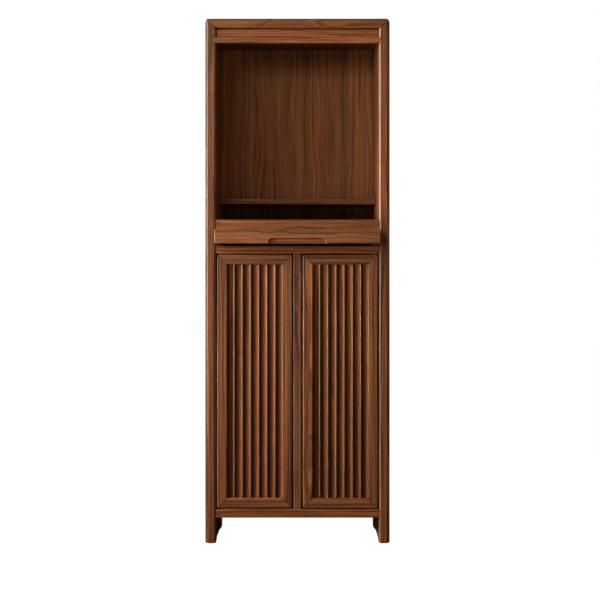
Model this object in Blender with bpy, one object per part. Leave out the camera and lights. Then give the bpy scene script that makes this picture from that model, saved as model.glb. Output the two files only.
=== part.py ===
"""Household altar cabinet in walnut.

A tall frame of two sides and a top board, mitred at the upper corners, holds an open niche with a
low shelf, a fixed table board, a pull-out tray below it and a cupboard with two fluted doors.
Metres, +Z up, the front faces -Y, and the origin is under the middle of the whole outline, with
the tray drawn out as it stands at rest.
"""

import math

import bmesh
import bpy
from mathutils import Vector

# Overall sizes
WIDTH = 0.680
DEPTH = 0.425
HEIGHT = 1.935

# Outer frame: the sides and the top board
SIDE_THICKNESS = 0.040
TOP_THICKNESS = 0.036
FRAME_ROUND = 0.008
FRAME_CHAMFER = 0.007
CORNER_RADIUS = 0.010
BACK_EASE = 0.003
FOOT_EASE = 0.005

# Relief under each side, which leaves a front foot and a back foot
FRONT_FOOT = 0.024
BACK_FOOT = 0.085
RELIEF_HEIGHT = 0.014
RELIEF_RUN = 0.050

# Rebate for the back panels
REBATE_DEPTH = 0.024
REBATE_WIDTH = 0.010
BACK_PANEL_THICKNESS = 0.012

# Fascia above the niche
FASCIA_THICKNESS = 0.018
FASCIA_HEIGHT = 0.0315
LIP_HEIGHT = 0.022
LIP_DEPTH = 0.028
LIP_ROUND = 0.004
FASCIA_GROOVE = 0.0012

# Niche shelf and table board
SHELF_DEPTH = 0.195
SHELF_THICKNESS = 0.021
SHELF_CLEARANCE = 0.0755
TABLE_THICKNESS = 0.040

# Pull-out tray
TRAY_PULL = 0.130
TRAY_DEPTH = 0.385
TRAY_SIDE_CLEARANCE = 0.002
TRAY_FOOT_CLEARANCE = 0.0012
TRAY_HEAD_CLEARANCE = 0.003
TRAY_BOARD_THICKNESS = 0.018
APRON_HEIGHT = 0.052
APRON_THICKNESS = 0.022
BATTEN_WIDTH = 0.018
RECESS_WIDTH = 0.210
RECESS_HEIGHT = 0.0185
RECESS_DEPTH = 0.011
RECESS_RADIUS = 0.015

# Cupboard carcass
LEG_HEIGHT = 0.094
BOTTOM_RAIL_HEIGHT = 0.032
UPPER_RAIL_HEIGHT = 0.0285
RAIL_THICKNESS = 0.022
BOARD_THICKNESS = 0.018
MULLION_WIDTH = 0.029
FACE_SETBACK = 0.0035

# Doors
DOOR_HEIGHT = 0.933
DOOR_THICKNESS = 0.022
DOOR_GAP = 0.0045
HINGE_GAP = 0.004
MEETING_GAP = 0.0055
DOOR_FRAME_WIDTH = 0.036
DOOR_LIP = 0.008
DOOR_REBATE = 0.008
DOOR_BEVEL = 0.002

# Fluted door panels
PANEL_THICKNESS = 0.0125
FLUTE_WIDTH = 0.030
FLUTE_DEPTH = 0.007
FLUTE_UNDERLAP = 0.0037
ARRIS_WIDTH = 0.005
ARRIS_DROP = 0.0008

# Pivot pins of the doors
PIVOT_INSET = 0.011
PIVOT_DEPTH = 0.009
PIN_RADIUS = 0.0025
PIN_EMBED = 0.007
PIN_CLEARANCE = 0.0003

# Fits and facets
JOINT = 0.0003
MITRE_SHIFT = 0.00025
EDGE_EASE = 0.002
CUT_MARGIN = 0.010
ROUND_STEPS = 6
EASE_STEPS = 3
FLUTE_STEPS = 10
PIN_SIDES = 16

# Places across the width
HALF_INNER = WIDTH / 2 - SIDE_THICKNESS
DOOR_WIDTH = HALF_INNER - HINGE_GAP - MEETING_GAP - MULLION_WIDTH / 2
DOOR_OUTER_X = HALF_INNER - HINGE_GAP
HALF_TRAY = HALF_INNER - TRAY_SIDE_CLEARANCE

# Places from front to back
FRONT_Y = (TRAY_PULL - DEPTH) / 2
BACK_Y = FRONT_Y + DEPTH
REAR_Y = BACK_Y - REBATE_DEPTH
FACE_Y = FRONT_Y + FACE_SETBACK
TRAY_Y = FRONT_Y - TRAY_PULL
PIVOT_Y = FACE_Y + PIVOT_DEPTH

# Places up the height
BOTTOM_RAIL_TOP = LEG_HEIGHT + BOTTOM_RAIL_HEIGHT
DOOR_BOTTOM = BOTTOM_RAIL_TOP + DOOR_GAP
DOOR_TOP = DOOR_BOTTOM + DOOR_HEIGHT
UPPER_RAIL_BOTTOM = DOOR_TOP + DOOR_GAP
CUPBOARD_TOP = UPPER_RAIL_BOTTOM + UPPER_RAIL_HEIGHT
TRAY_BOTTOM = CUPBOARD_TOP + TRAY_FOOT_CLEARANCE
TRAY_TOP = TRAY_BOTTOM + APRON_HEIGHT
TABLE_BOTTOM = TRAY_TOP + TRAY_HEAD_CLEARANCE
TABLE_TOP = TABLE_BOTTOM + TABLE_THICKNESS
SHELF_BOTTOM = TABLE_TOP + SHELF_CLEARANCE
CEILING = HEIGHT - TOP_THICKNESS
FASCIA_TOP = CEILING - JOINT
FASCIA_BOTTOM = FASCIA_TOP - FASCIA_HEIGHT
LIP_TOP = FASCIA_BOTTOM - FASCIA_GROOVE
BACK_SPLIT = CUPBOARD_TOP - BOARD_THICKNESS / 2

# Colours, linear values, with a roughness for the wood and the metal
WALNUT = (0.180, 0.066, 0.025)
WALNUT_LIGHT = (0.230, 0.092, 0.038)
WALNUT_PANEL = (0.150, 0.054, 0.021)
WALNUT_INSIDE = (0.110, 0.042, 0.018)
BRASS = (0.560, 0.390, 0.160)
WOOD_ROUGHNESS = 0.45
BRASS_ROUGHNESS = 0.30


def clear_scene():
    for thing in list(bpy.data.objects):
        bpy.data.objects.remove(thing, do_unlink=True)


def finish_material(name, colour, roughness, metallic=0.0):
    material = bpy.data.materials.new(name)
    material.use_nodes = True
    shader = material.node_tree.nodes["Principled BSDF"]
    shader.inputs["Base Color"].default_value = (*colour, 1.0)
    shader.inputs["Roughness"].default_value = roughness
    shader.inputs["Metallic"].default_value = metallic
    return material


def empty(name, place):
    """A plain axes empty that carries the pieces of one moving part."""
    carrier = bpy.data.objects.new(name, None)
    carrier.location = place
    bpy.context.scene.collection.objects.link(carrier)
    return carrier


def piece(name, bm, origin, material, parent=None):
    """Object with its own origin, from a bmesh in the cabinet's frame."""
    origin = Vector(origin)
    bmesh.ops.translate(bm, vec=-origin, verts=bm.verts)
    mesh = bpy.data.meshes.new(name)
    bm.to_mesh(mesh)
    bm.free()
    thing = bpy.data.objects.new(name, mesh)
    thing.location = origin
    if parent is not None:
        thing.parent = parent
        thing.location = origin - parent.location
    if material is not None:
        mesh.materials.append(material)
    bpy.context.scene.collection.objects.link(thing)
    return thing


def cutter(name, bm):
    """Shape that only cuts others, shown as wire and never rendered."""
    thing = piece(name, bm, (0.0, 0.0, 0.0), None)
    thing.display_type = "WIRE"
    thing.hide_render = True
    return thing


def cut(target, tool):
    """Take the cutter's shape out of the target with a Boolean modifier."""
    modifier = target.modifiers.new(tool.name, "BOOLEAN")
    modifier.operation = "DIFFERENCE"
    modifier.solver = "EXACT"
    modifier.object = tool


def carried(profile, place, start, end):
    """Closed solid of a profile carried along a straight line.

    place(a, b, t) is the point of the profile's point (a, b) at the distance t, and start(a, b)
    and end(a, b) give the distance at each end, so an end can be square or mitred.
    """
    bm = bmesh.new()
    first = [bm.verts.new(place(a, b, start(a, b))) for a, b in profile]
    last = [bm.verts.new(place(a, b, end(a, b))) for a, b in profile]
    bm.faces.new(first)
    bm.faces.new(list(reversed(last)))
    for i, corner in enumerate(first):
        j = (i + 1) % len(first)
        bm.faces.new((corner, last[i], last[j], first[j]))
    bmesh.ops.recalc_face_normals(bm, faces=bm.faces)
    return bm


def square(value):
    """End that is cut square at one distance."""
    return lambda a, b: value


def arc(centre_a, centre_b, radius, from_angle, to_angle, steps):
    """Points of an arc, both ends included, angles in degrees."""
    points = []
    for i in range(steps + 1):
        angle = math.radians(from_angle + (to_angle - from_angle) * i / steps)
        points.append((centre_a + radius * math.cos(angle), centre_b + radius * math.sin(angle)))
    return points


def upright(profile, bottom, top):
    """Solid of a plan outline (x, y) carried up from bottom to top."""
    return carried(profile, lambda x, y, z: (x, y, z), square(bottom), square(top))


def ease(bm, chosen, width, steps):
    """Round the edges whose two ends p and q satisfy chosen(p, q)."""
    edges = [edge for edge in bm.edges if chosen(edge.verts[0].co, edge.verts[1].co)]
    bmesh.ops.bevel(bm, geom=edges, offset=width, segments=steps, profile=0.5,
                    affect="EDGES", clamp_overlap=True)


def lies_at(axis, value):
    """Test for edges that lie in the plane where the given axis has the given value."""
    return lambda p, q: abs(p[axis] - value) < JOINT / 3 and abs(q[axis] - value) < JOINT / 3


def level_at_front(y):
    """Test for the horizontal edges of a front face."""
    at_front = lies_at(1, y)
    return lambda p, q: at_front(p, q) and abs(p.z - q.z) < JOINT / 3


def slab(x_range, y_range, z_range):
    (x0, x1), (y0, y1) = x_range, y_range
    return upright([(x0, y0), (x1, y0), (x1, y1), (x0, y1)], *z_range)


def spanning_board(y_range, z_range, ease_width):
    """Board from side to side, with its front ends scribed over the sides' inner chamfer."""
    front, back = y_range
    half = HALF_INNER - JOINT
    overlap = max(0.0, FRONT_Y + FRAME_CHAMFER - front)
    outline = [(-half - overlap, front), (half + overlap, front)]
    if overlap > 0.0:
        outline.append((half, front + overlap))
    outline += [(half, back), (-half, back)]
    if overlap > 0.0:
        outline.append((-half, front + overlap))
    bm = upright(outline, *z_range)
    ease(bm, level_at_front(front), ease_width, EASE_STEPS)
    return bm


def frame_profile(thickness):
    """Section of a side or of the top board: (distance in from outside, distance from the front)."""
    outline = arc(FRAME_ROUND, FRAME_ROUND, FRAME_ROUND, 180.0, 270.0, ROUND_STEPS)
    outline += [
        (thickness - FRAME_CHAMFER, 0.0),
        (thickness, FRAME_CHAMFER),
        (thickness, DEPTH - REBATE_DEPTH),
        (thickness - REBATE_WIDTH, DEPTH - REBATE_DEPTH),
        (thickness - REBATE_WIDTH, DEPTH),
        (BACK_EASE, DEPTH),
        (0.0, DEPTH - BACK_EASE),
    ]
    return outline


def side_panel(hand):
    """Side at hand -1 (left) or +1 (right), mitred to the top board."""
    def place(a, b, z):
        return (hand * (WIDTH / 2 - a), FRONT_Y + b, z)

    def mitre(a, b):
        return HEIGHT - a * TOP_THICKNESS / SIDE_THICKNESS - MITRE_SHIFT

    bm = carried(frame_profile(SIDE_THICKNESS), place, square(0.0), mitre)
    ease(bm, lies_at(2, 0.0), FOOT_EASE, EASE_STEPS)
    return bm


def top_board():
    """Top of the frame, mitred to both sides."""
    def place(c, b, x):
        return (x, FRONT_Y + b, HEIGHT - c)

    def reach(c, b):
        return WIDTH / 2 - c * SIDE_THICKNESS / TOP_THICKNESS - MITRE_SHIFT

    return carried(frame_profile(TOP_THICKNESS), place, lambda c, b: -reach(c, b), reach)


def corner_cutter(hand):
    """Rounds an upper corner of the frame: what lies outside the corner's arc."""
    centre_x = WIDTH / 2 - CORNER_RADIUS
    centre_z = HEIGHT - CORNER_RADIUS
    outline = arc(centre_x, centre_z, CORNER_RADIUS, 0.0, 90.0, ROUND_STEPS)
    outline += [
        (centre_x, HEIGHT + CUT_MARGIN),
        (WIDTH / 2 + CUT_MARGIN, HEIGHT + CUT_MARGIN),
        (WIDTH / 2 + CUT_MARGIN, centre_z),
    ]
    return carried(outline, lambda x, z, y: (hand * x, y, z),
                   square(FRONT_Y - CUT_MARGIN), square(BACK_Y + CUT_MARGIN))


def relief_cutter():
    """Low arch under both sides, with an S-shaped end at the front foot and the back foot."""
    start = FRONT_Y + FRONT_FOOT
    stop = BACK_Y - BACK_FOOT
    run = min(RELIEF_RUN, (stop - start) / 2)
    steps = 2 * ROUND_STEPS
    outline = [(start, -CUT_MARGIN)]
    for i in range(steps + 1):
        share = i / steps
        rise = RELIEF_HEIGHT * share * share * (3.0 - 2.0 * share)
        outline.append((start + run * share, rise))
    for i in range(steps, -1, -1):
        share = i / steps
        rise = RELIEF_HEIGHT * share * share * (3.0 - 2.0 * share)
        outline.append((stop - run * share, rise))
    outline.append((stop, -CUT_MARGIN))
    reach = WIDTH / 2 + CUT_MARGIN
    return carried(outline, lambda y, z, x: (x, y, z), square(-reach), square(reach))


def frame_member(mirror, along, low, high, edge, inward):
    """Mitred member of a door frame.

    along is the axis that it runs on, "x" or "z", from low to high; edge is the place of its outer
    edge on the other axis and inward is +1 or -1, towards the middle of the door. mirror turns the
    door's own x into the cabinet's.
    """
    w = DOOR_FRAME_WIDTH
    profile = [
        (DOOR_BEVEL, 0.0),
        (w - DOOR_BEVEL, 0.0),
        (w, DOOR_BEVEL),
        (w, DOOR_LIP),
        (w - DOOR_REBATE, DOOR_LIP),
        (w - DOOR_REBATE, DOOR_THICKNESS),
        (DOOR_BEVEL, DOOR_THICKNESS),
        (0.0, DOOR_THICKNESS - DOOR_BEVEL),
        (0.0, DOOR_BEVEL),
    ]

    def place(a, b, t):
        across = edge + inward * a
        x, z = (t, across) if along == "x" else (across, t)
        return (mirror * x, FACE_Y + b, z)

    return carried(profile, place, lambda a, b: low + a + MITRE_SHIFT,
                   lambda a, b: high - a - MITRE_SHIFT)


def fluted_profile(half_width, half_opening):
    """Plan outline of a fluted panel: (distance from its middle, distance back from its front).

    Flutes are hollow arcs between narrow rounded ridges, and the outermost ridge of each side lies
    just under the door frame.
    """
    count = max(1, round(2 * half_opening / FLUTE_WIDTH))
    half_pattern = half_opening + FLUTE_UNDERLAP
    pitch = 2 * half_pattern / count
    half_chord = (pitch - ARRIS_WIDTH) / 2
    radius = (half_chord ** 2 + FLUTE_DEPTH ** 2) / (2 * FLUTE_DEPTH)
    half_angle = math.asin(min(1.0, half_chord / radius))
    outline = [(-half_width, ARRIS_DROP)]
    for i in range(count):
        middle = -half_pattern + (i + 0.5) * pitch
        for j in range(FLUTE_STEPS + 1):
            angle = half_angle * (2 * j / FLUTE_STEPS - 1)
            hollow = radius * (math.cos(angle) - math.cos(half_angle))
            outline.append((middle + radius * math.sin(angle), ARRIS_DROP + hollow))
        if i < count - 1:
            outline.append((middle + pitch / 2, 0.0))
    outline.append((half_width, ARRIS_DROP))
    outline += [(half_width, PANEL_THICKNESS), (-half_width, PANEL_THICKNESS)]
    return outline


def rounded_recess():
    """Front outline of the finger recess, open at the apron's lower edge."""
    half = RECESS_WIDTH / 2
    top = TRAY_BOTTOM + RECESS_HEIGHT
    radius = min(RECESS_RADIUS, RECESS_HEIGHT, half)
    outline = [(-half, TRAY_BOTTOM - CUT_MARGIN), (half, TRAY_BOTTOM - CUT_MARGIN)]
    outline += arc(half - radius, top - radius, radius, 0.0, 90.0, ROUND_STEPS)
    outline += arc(radius - half, top - radius, radius, 90.0, 180.0, ROUND_STEPS)
    return outline


def pin_solid(x, z_range, radius):
    """Round pin or bore on a door's pivot line."""
    outline = []
    for i in range(PIN_SIDES):
        angle = math.tau * i / PIN_SIDES
        outline.append((x + radius * math.cos(angle), PIVOT_Y + radius * math.sin(angle)))
    return upright(outline, *z_range)


def build_frame(solid, lighter):
    relief = cutter("side_relief_cutter", relief_cutter())
    corners = {hand: cutter(f"corner_cutter_{name}", corner_cutter(hand))
               for hand, name in ((-1, "left"), (1, "right"))}
    for hand, name in ((-1, "left"), (1, "right")):
        side = piece(f"side_{name}", side_panel(hand), (hand * WIDTH / 2, FRONT_Y, 0.0), solid)
        cut(side, relief)
        cut(side, corners[hand])
    board = piece("top_board", top_board(), (0.0, FRONT_Y, HEIGHT), lighter)
    for tool in corners.values():
        cut(board, tool)


def build_fascia(solid, lighter):
    fascia_y = FRONT_Y + FRAME_CHAMFER + JOINT
    board = spanning_board((fascia_y, fascia_y + FASCIA_THICKNESS),
                           (FASCIA_BOTTOM, FASCIA_TOP), EDGE_EASE)
    piece("fascia_board", board, (0.0, fascia_y, FASCIA_BOTTOM), solid)
    lip = spanning_board((FRONT_Y, FRONT_Y + LIP_DEPTH), (LIP_TOP - LIP_HEIGHT, LIP_TOP), LIP_ROUND)
    piece("fascia_lip", lip, (0.0, FRONT_Y, LIP_TOP), lighter)


def build_boards(solid, lighter):
    shelf_y = REAR_Y - SHELF_DEPTH
    shelf = spanning_board((shelf_y, REAR_Y), (SHELF_BOTTOM, SHELF_BOTTOM + SHELF_THICKNESS),
                           EDGE_EASE)
    piece("niche_shelf", shelf, (0.0, shelf_y, SHELF_BOTTOM), solid)
    table = spanning_board((FACE_Y, REAR_Y), (TABLE_BOTTOM, TABLE_TOP), EDGE_EASE)
    piece("table_board", table, (0.0, FACE_Y, TABLE_BOTTOM), lighter)
    rails = {
        "upper_rail": (UPPER_RAIL_BOTTOM, CUPBOARD_TOP),
        "bottom_rail": (LEG_HEIGHT, BOTTOM_RAIL_TOP),
    }
    boards = {"upper_rail": "cupboard_top", "bottom_rail": "cupboard_bottom"}
    made = {}
    for name, (low, high) in rails.items():
        rail = spanning_board((FACE_Y, FACE_Y + RAIL_THICKNESS), (low, high), EDGE_EASE)
        made[name] = piece(name, rail, (0.0, FACE_Y, low), solid)
        behind = FACE_Y + RAIL_THICKNESS + JOINT
        half = HALF_INNER - JOINT
        board = slab((-half, half), (behind, REAR_Y), (high - BOARD_THICKNESS, high))
        piece(boards[name], board, (0.0, behind, high - BOARD_THICKNESS), solid)
    half = MULLION_WIDTH / 2
    mullion = slab((-half, half), (FACE_Y, FACE_Y + RAIL_THICKNESS),
                   (BOTTOM_RAIL_TOP + JOINT, UPPER_RAIL_BOTTOM - JOINT))
    front = lies_at(1, FACE_Y)
    ease(mullion, lambda p, q: front(p, q) and abs(p.x - q.x) < JOINT, EDGE_EASE, EASE_STEPS)
    piece("mullion", mullion, (0.0, FACE_Y, BOTTOM_RAIL_TOP), solid)
    return made


def build_back(inside):
    half = HALF_INNER + REBATE_WIDTH - JOINT
    y_range = (REAR_Y + JOINT, REAR_Y + JOINT + BACK_PANEL_THICKNESS)
    heights = {
        "niche_back_panel": (BACK_SPLIT + JOINT, CEILING + REBATE_WIDTH - JOINT),
        "cupboard_back_panel": (LEG_HEIGHT, BACK_SPLIT),
    }
    for name, z_range in heights.items():
        piece(name, slab((-half, half), y_range, z_range), (0.0, REAR_Y, z_range[0]), inside)


def build_tray(solid, lighter):
    carrier = empty("tray_slide", (0.0, TRAY_Y, TRAY_BOTTOM))
    apron_back = TRAY_Y + APRON_THICKNESS
    tray_rear = TRAY_Y + TRAY_DEPTH
    apron = slab((-HALF_TRAY, HALF_TRAY), (TRAY_Y, apron_back), (TRAY_BOTTOM, TRAY_TOP))
    ease(apron, lies_at(1, TRAY_Y), EDGE_EASE, EASE_STEPS)
    front = piece("tray_apron", apron, (0.0, TRAY_Y, TRAY_BOTTOM), lighter, carrier)
    recess = carried(rounded_recess(), lambda x, z, y: (x, y, z),
                     square(TRAY_Y - CUT_MARGIN), square(TRAY_Y + RECESS_DEPTH))
    cut(front, cutter("finger_recess_cutter", recess))
    behind = apron_back + JOINT
    board_bottom = TRAY_TOP - TRAY_BOARD_THICKNESS
    board = slab((-HALF_TRAY, HALF_TRAY), (behind, tray_rear), (board_bottom, TRAY_TOP))
    piece("tray_board", board, (0.0, behind, board_bottom), solid, carrier)
    for hand, name in ((-1, "left"), (1, "right")):
        edges = sorted((hand * HALF_TRAY, hand * (HALF_TRAY - BATTEN_WIDTH)))
        batten = slab(edges, (behind, tray_rear), (CUPBOARD_TOP + JOINT, board_bottom - JOINT))
        piece(f"tray_batten_{name}", batten, (edges[0], behind, CUPBOARD_TOP), solid, carrier)


def build_door(hand, name, rails, solid, fluted, brass):
    """Door at hand -1 (left) or +1 (right): four mitred members, a fluted panel and two pins."""
    pivot_x = hand * (DOOR_OUTER_X - PIVOT_INSET)
    carrier = empty(f"door_{name}_hinge", (pivot_x, PIVOT_Y, DOOR_BOTTOM))
    outer, inner = DOOR_OUTER_X, DOOR_OUTER_X - DOOR_WIDTH
    members = {
        "outer_stile": ("z", DOOR_BOTTOM, DOOR_TOP, outer, -1),
        "inner_stile": ("z", DOOR_BOTTOM, DOOR_TOP, inner, 1),
        "bottom_rail": ("x", inner, outer, DOOR_BOTTOM, 1),
        "top_rail": ("x", inner, outer, DOOR_TOP, -1),
    }
    made = {}
    for part, (along, low, high, edge, inward) in members.items():
        bm = frame_member(hand, along, low, high, edge, inward)
        made[part] = piece(f"door_{name}_{part}", bm, (pivot_x, PIVOT_Y, DOOR_BOTTOM), solid, carrier)
    half_opening = DOOR_WIDTH / 2 - DOOR_FRAME_WIDTH
    half_panel = half_opening + DOOR_REBATE - JOINT
    middle = hand * (outer + inner) / 2
    panel_y = FACE_Y + DOOR_LIP + JOINT
    panel_bottom = DOOR_BOTTOM + DOOR_FRAME_WIDTH - DOOR_REBATE + JOINT
    panel_top = DOOR_TOP - DOOR_FRAME_WIDTH + DOOR_REBATE - JOINT
    panel = carried(fluted_profile(half_panel, half_opening),
                    lambda a, b, z: (middle + a, panel_y + b, z),
                    square(panel_bottom), square(panel_top))
    piece(f"door_{name}_panel", panel, (middle, panel_y, panel_bottom), fluted, carrier)
    ends = {
        "bottom": (BOTTOM_RAIL_TOP - PIN_EMBED, DOOR_BOTTOM + PIN_EMBED, "bottom_rail", "bottom_rail"),
        "top": (DOOR_TOP - PIN_EMBED, UPPER_RAIL_BOTTOM + PIN_EMBED, "upper_rail", "top_rail"),
    }
    for end, (low, high, carcass_rail, door_rail) in ends.items():
        pin = pin_solid(pivot_x, (low, high), PIN_RADIUS)
        piece(f"door_{name}_pin_{end}", pin, (pivot_x, PIVOT_Y, low), brass, carrier)
        bore = pin_solid(pivot_x, (low - PIN_CLEARANCE, high + PIN_CLEARANCE),
                         PIN_RADIUS + PIN_CLEARANCE)
        tool = cutter(f"door_{name}_bore_{end}", bore)
        cut(rails[carcass_rail], tool)
        cut(made[door_rail], tool)
        cut(made["outer_stile"], tool)


def main():
    clear_scene()
    solid = finish_material("walnut", WALNUT, WOOD_ROUGHNESS)
    lighter = finish_material("walnut_light", WALNUT_LIGHT, WOOD_ROUGHNESS)
    fluted = finish_material("walnut_fluted", WALNUT_PANEL, WOOD_ROUGHNESS)
    inside = finish_material("walnut_veneer", WALNUT_INSIDE, WOOD_ROUGHNESS)
    brass = finish_material("brass", BRASS, BRASS_ROUGHNESS, 1.0)
    build_frame(solid, lighter)
    build_fascia(solid, lighter)
    rails = build_boards(solid, lighter)
    build_back(inside)
    build_tray(solid, lighter)
    for hand, name in ((-1, "left"), (1, "right")):
        build_door(hand, name, rails, solid, fluted, brass)


main()
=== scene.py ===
import math

import bpy
import numpy as np
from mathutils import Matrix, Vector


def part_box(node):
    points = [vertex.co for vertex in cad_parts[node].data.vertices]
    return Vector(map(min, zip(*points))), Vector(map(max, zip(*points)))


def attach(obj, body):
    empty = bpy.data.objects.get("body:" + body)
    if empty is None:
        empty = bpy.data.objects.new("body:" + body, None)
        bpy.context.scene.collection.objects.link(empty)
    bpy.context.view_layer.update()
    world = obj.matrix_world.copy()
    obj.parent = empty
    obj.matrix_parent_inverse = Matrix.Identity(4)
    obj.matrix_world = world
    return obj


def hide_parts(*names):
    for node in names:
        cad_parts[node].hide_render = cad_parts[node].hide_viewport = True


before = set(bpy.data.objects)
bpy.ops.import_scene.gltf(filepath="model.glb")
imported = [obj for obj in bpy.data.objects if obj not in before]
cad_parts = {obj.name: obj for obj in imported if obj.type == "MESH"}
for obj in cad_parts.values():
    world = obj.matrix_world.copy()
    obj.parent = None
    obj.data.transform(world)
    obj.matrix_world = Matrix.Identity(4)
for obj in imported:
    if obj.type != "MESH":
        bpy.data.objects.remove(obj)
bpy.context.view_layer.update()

# Household altar cabinet in walnut, dressed over its imported solids. Metres, +Z up, front to -Y.
# Each board is a section of two facing chains of points, (u, v), carried along t. Its "grain"
# attribute holds (along, across, through) measured from the heart of its own tree, its "arris"
# attribute is 1 on rounded edges and also carries a painted highlight there, and its "tone"
# attribute scales its colour; on the sides, the flutes, the tray's recess and the niche's back panel
# that tone also holds painted light and shade.

# All boards: distance along the grain from one board's tree to the next, gain of the arris over the
# lean of its normal, angle below which faces are smooth, and offset of the points of a sharp corner
TREE_STEP = 3.7
ARRIS_GAIN = 5.0
SMOOTH_BELOW = math.radians(31)
SHARP = 0.0001

# Plain boards: rounding of their back arrises and of an upright's ends, heart of a level board's tree
# and of a back panel's
BOARD_BACK_ROUND = 0.001
UPRIGHT_END_ROUND = 0.001
LEVEL_HEART = (0.04, 0.05)
PANEL_HEART = (0.05, 0.16)

# Wear of arrises, which also carries a painted highlight: on the outer frame, on level boards and the
# tray, on uprights and door members
FRAME_WEAR_AND_HIGHLIGHT = 0.6
BOARD_WEAR_AND_HIGHLIGHT = 1.0
SLENDER_WEAR_AND_HIGHLIGHT = 1.4

# Outer frame
FRAME_ROUND = 0.011
FRAME_FLATNESS = 0.6
FRAME_CHAMFER = 0.007
CHAMFER_EASE = 0.0012
CORNER_RADIUS = 0.013
MITRE_GAP = 0.00012
SIDE_THICKNESS = 0.040
TOP_THICKNESS = 0.036
REBATE_DEPTH = 0.024
REBATE_WIDTH = 0.010
REBATE_FIRST = 0.006
REBATE_LAST = 0.008
REBATE_EASE = 0.001
BACK_ROUND = 0.003
HEAD_RING_STEP = 0.001
SIDE_HEART = (0.10, 0.16)
TOP_HEART = (0.09, 0.02)
TOP_TONE = 0.93

# Relief under the sides
FRONT_FOOT = 0.024
BACK_FOOT = 0.085
RELIEF_HEIGHT = 0.014
RELIEF_RUN = 0.050
RELIEF_STEPS = 13
FOOT_EASE = 0.005
RELIEF_EASE = 0.0015

# Doors
DOOR_FRAME_WIDTH = 0.036
DOOR_LIP = 0.008
DOOR_REBATE = 0.008
DOOR_ARRIS = 0.0028
DOOR_BACK_ROUND = 0.0012
LIP_STEP = 0.0002

# Heart of a door member's tree, and of the one that has a flame in its grain
DOOR_HEART = (0.02, 0.085)
FLAMED_HEART = (0.045, 0.03)

# Fluted panels: what lies under the door's frame, the flutes, and the ridges between them
PANEL_TONGUE = 0.0077
FLUTE_UNDERLAP = 0.0037
FLUTES = 7
FLUTE_DEPTH = 0.007
FLUTE_POWER = 4
FLUTE_STEPS = 33
RIDGE_WIDTH = 0.0045
RIDGE_DROP = 0.0012
RIDGE_WORN_AND_HIGHLIT = 0.8
RIDGE_STEPS = 9
FLUTED_HEART = (0.4, 0.11)

# Painted shade and highlight across each flute: darker in its left part, where the ridge's shadow
# falls, and paler on the way up to its lit right ridge
FLUTE_PAINTED_LIGHT_PLACES = (0.0, 0.08, 0.15, 0.3, 0.5, 0.65, 0.8, 1.0)
FLUTE_PAINTED_LIGHT = (1.0, 0.7, 0.4, 0.45, 1.2, 1.35, 1.0, 1.0)

# Tray
RECESS_HALF = 0.105
RECESS_HEIGHT = 0.0185
RECESS_DEPTH = 0.011
RECESS_RADIUS = 0.018
RECESS_COVE = 0.0028
# Painted shade in the recess, at its full depth
RECESS_PAINTED_SHADE = 0.22
APRON_ROUND = 0.003
APRON_TONE = 1.05
APRON_HEART = (0.05, 0.07)

# Stations of the apron's depth map: clear of its ends, about the recess's ends and beyond them, clear
# of its long edges, and above the recess
APRON_MARGIN = 0.02
RECESS_END_REACH = (-0.006, 0.024)
RECESS_BEYOND = 0.01
APRON_ROW_MARGIN = 0.004
ABOVE_RECESS = 0.025

# Painted shade: tone of the niche's back panel under the shelf, where the shelf's shadow falls
UNDER_SHELF_PAINTED_SHADE = 0.3

# Distances from a door member's mitre line, and its tone at each of them
JOINT_DISTANCES = np.array((0.0, 0.0014, 0.0022))
JOINT_TONES = (0.1, 0.6, 1.0)

# Tones of each door's outer stile, inner stile, bottom rail and top rail
DOOR_TONES = {"left": (0.95, 0.86, 1.15, 1.0), "right": (0.92, 1.22, 1.15, 0.88)}

# A side's painted light and shade at its foot, at three heights and at its mitre: on the front face,
# fading out over 10 mm behind it, and on the outer arris. The right side is darker where the tray's
# shadow falls on it.
PAINTED_LIGHT_HEIGHTS = np.array((0.3, 1.15, 1.28))
PAINTED_LIGHT_REACH = 0.010
FRONT_PAINTED_LIGHT = {"side_left": (1.0, 1.15, 1.3, 1.08, 1.05), "side_right": (1.0, 0.85, 0.8, 1.6, 1.55)}
ARRIS_PAINTED_LIGHT = {"side_left": (0.6, 0.45, 0.5, 1.0, 1.0), "side_right": (1.4, 1.45, 1.45, 1.3, 1.2)}

# Steps of rounded corners
ARC_STEPS = 5
QUARTER = np.linspace(0.0, math.pi / 2, ARC_STEPS + 1)


# Camera and light

def make_camera():
    """Level camera in front of the cabinet, shifted to the photograph's framing."""
    data = bpy.data.cameras.new("camera")
    data.sensor_width = 36.0
    data.lens = 78.2
    data.shift_x = 0.0034
    data.shift_y = 0.0333
    camera = bpy.data.objects.new("camera", data)
    camera.location = (0.0018, -4.9475, 0.823)
    camera.rotation_euler = (math.pi / 2, 0.0, 0.0)
    bpy.context.scene.collection.objects.link(camera)
    bpy.context.scene.camera = camera


def make_light(name, place, target, size, power, colour, spread=180.0, mirrored=True):
    """Soft rectangular light at a place, turned towards a target, its beam narrowed to spread.

    A light that is not mirrored leaves no highlight.
    """
    data = bpy.data.lights.new(name, "AREA")
    data.shape = "RECTANGLE"
    data.size, data.size_y = size
    data.energy = power
    data.color = colour
    data.spread = math.radians(spread)
    light = bpy.data.objects.new(name, data)
    light.location = place
    light.visible_camera = False
    light.visible_glossy = mirrored
    aim = np.array(target) - np.array(place)
    level = math.hypot(aim[0], aim[1])
    light.rotation_euler = (math.atan2(level, -aim[2]), 0.0, math.atan2(-aim[0], aim[1]))
    bpy.context.scene.collection.objects.link(light)


# Node helpers

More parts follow.
